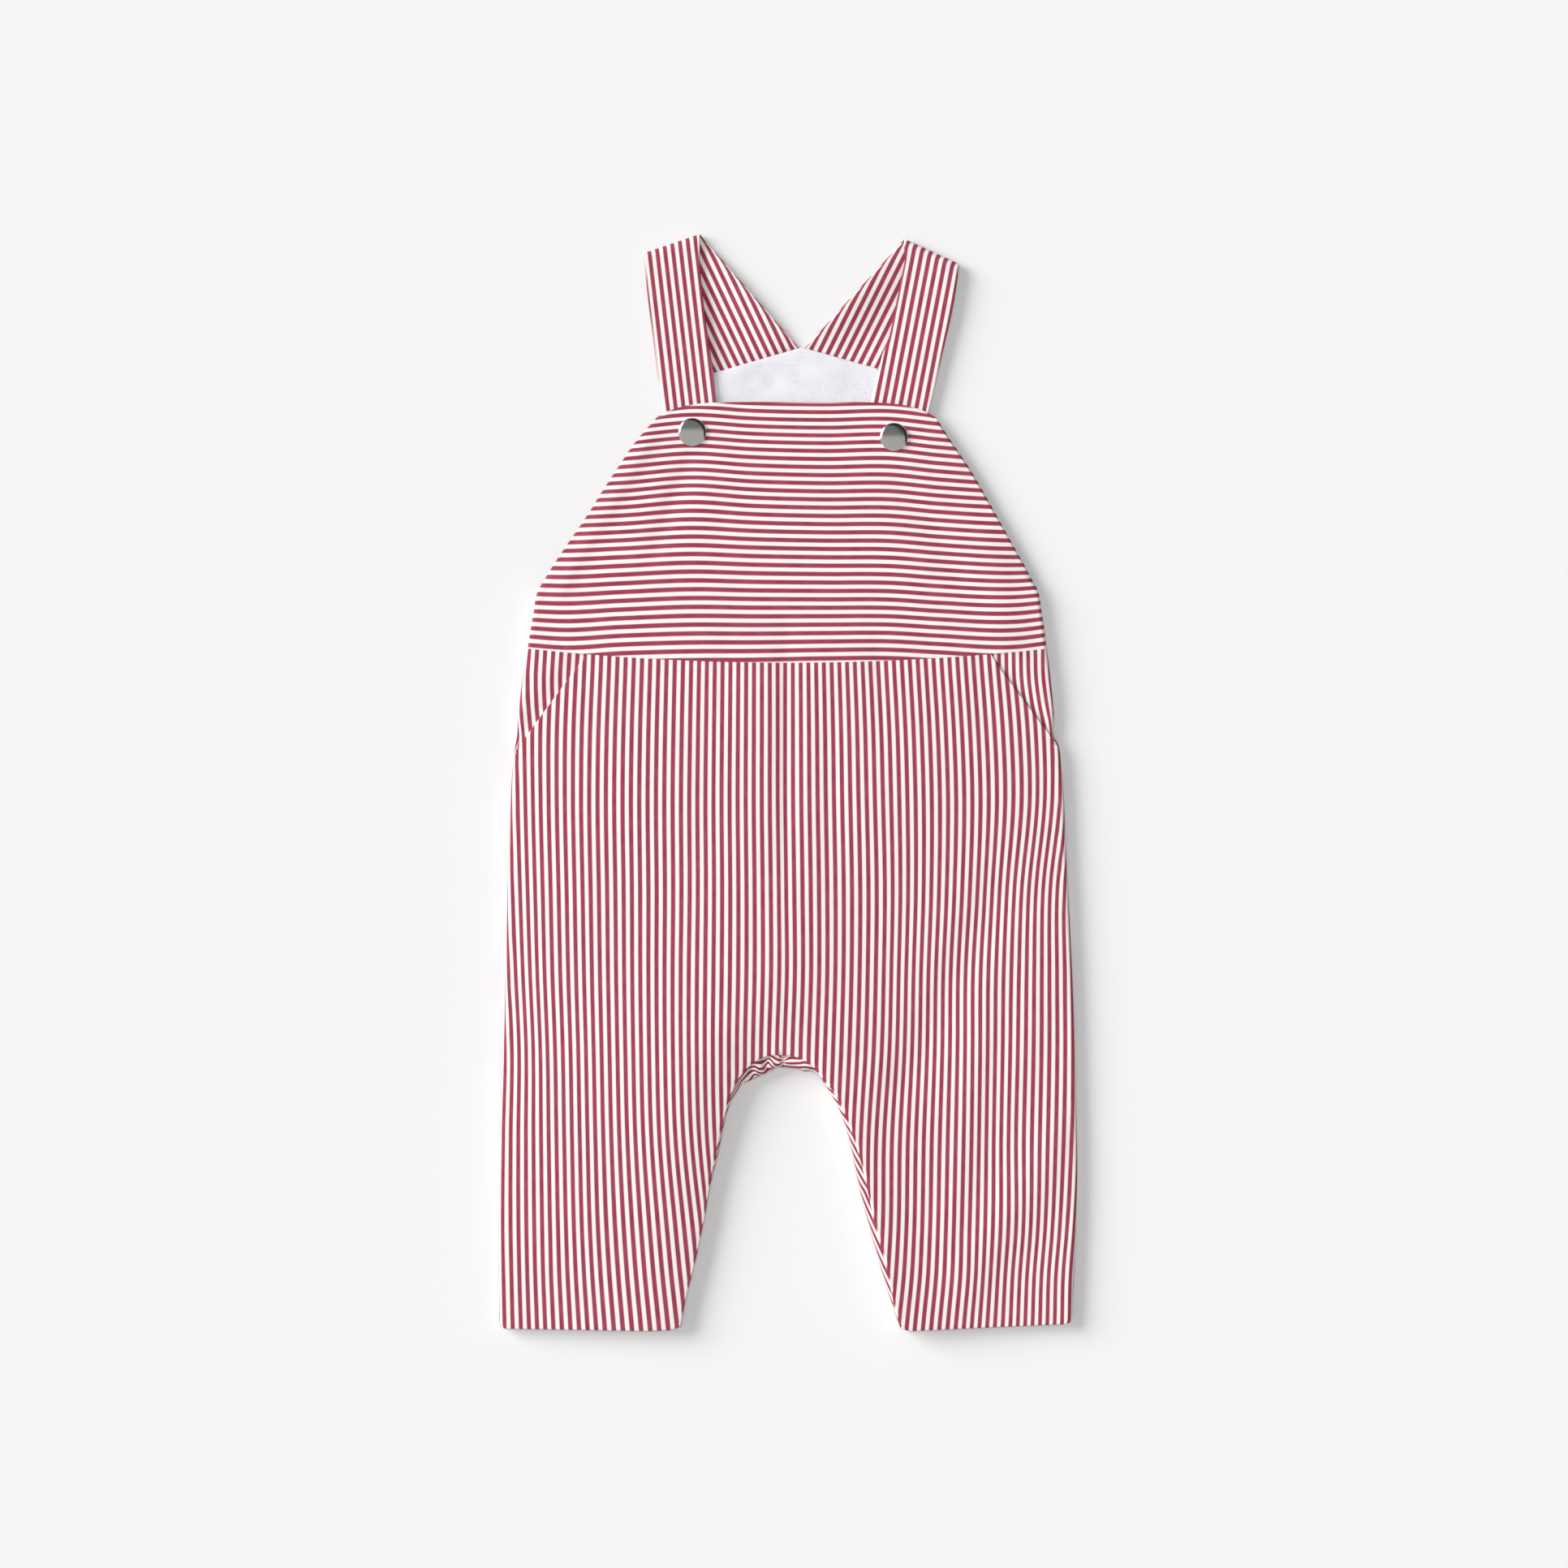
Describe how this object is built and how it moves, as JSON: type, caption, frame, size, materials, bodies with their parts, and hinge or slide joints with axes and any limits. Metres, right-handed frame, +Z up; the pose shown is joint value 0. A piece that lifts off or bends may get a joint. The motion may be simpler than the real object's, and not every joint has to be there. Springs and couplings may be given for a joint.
{
  "type": "dungarees",
  "caption": "Toddler dungarees laid flat: striped twill bib and legs, slant pockets, a gathered crotch band, folded shoulder straps and round metal caps.",
  "frame": {"origin": "middle of the garment's length and width, on the surface it lies on", "axes": "+Z up from the surface, +Y from the hems to the straps, +X to the right of the garment as seen from above"},
  "size_m": [0.3098, 0.588, 0.0139],
  "materials": {
    "striped_twill": "matt",
    "white_jersey": "matt",
    "polished_metal": "polished"
  },
  "bodies": {
    "root": {"front_bib": "striped_twill", "back_bib": "striped_twill", "back_lining": "white_jersey", "front_leg_left": "striped_twill", "front_leg_right": "striped_twill", "back_leg_left": "striped_twill", "back_leg_right": "striped_twill", "pocket_facing_left": "striped_twill", "pocket_facing_right": "striped_twill", "crotch_band": "striped_twill", "strap_left": "striped_twill", "strap_right": "striped_twill", "button_left": "polished_metal", "button_right": "polished_metal"}
  },
  "joints": []
}
